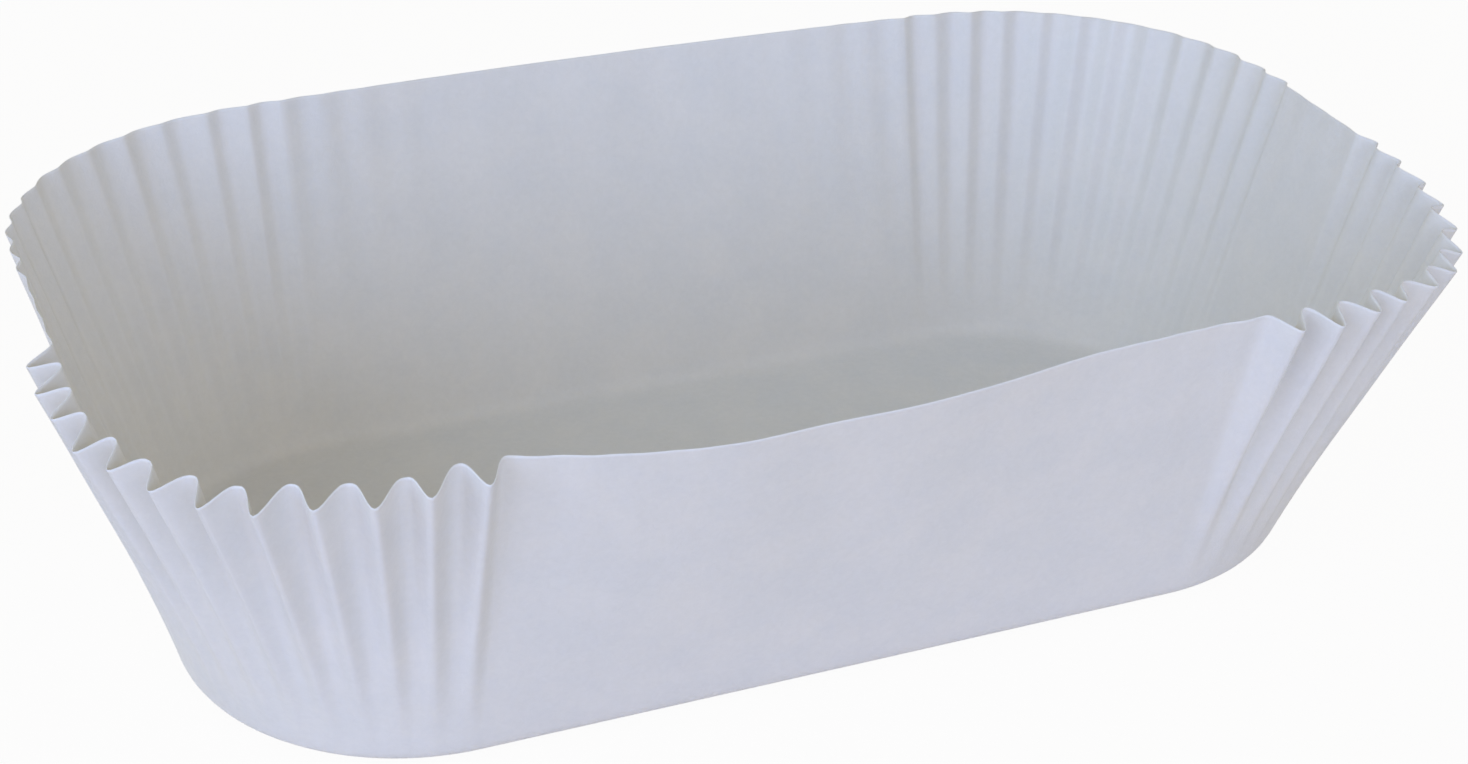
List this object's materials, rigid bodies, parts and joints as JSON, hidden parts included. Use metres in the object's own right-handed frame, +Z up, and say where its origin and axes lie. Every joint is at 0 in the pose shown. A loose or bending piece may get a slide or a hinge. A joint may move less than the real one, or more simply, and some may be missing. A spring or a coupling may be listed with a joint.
{
  "type": "loaf pan liner",
  "caption": "Open pleated paper tray that lines a loaf pan: flat base, leaning walls, flat panels on the sides and ends, and fluted corners.",
  "frame": {"origin": "middle of the underside of the flat base", "axes": "+X along the long sides, +Y across the liner, +Z up out of the open top"},
  "size_m": [0.2064, 0.1194, 0.0545],
  "materials": {
    "greaseproof_paper": "matte"
  },
  "bodies": {
    "root": {"liner": "greaseproof_paper"}
  },
  "joints": []
}
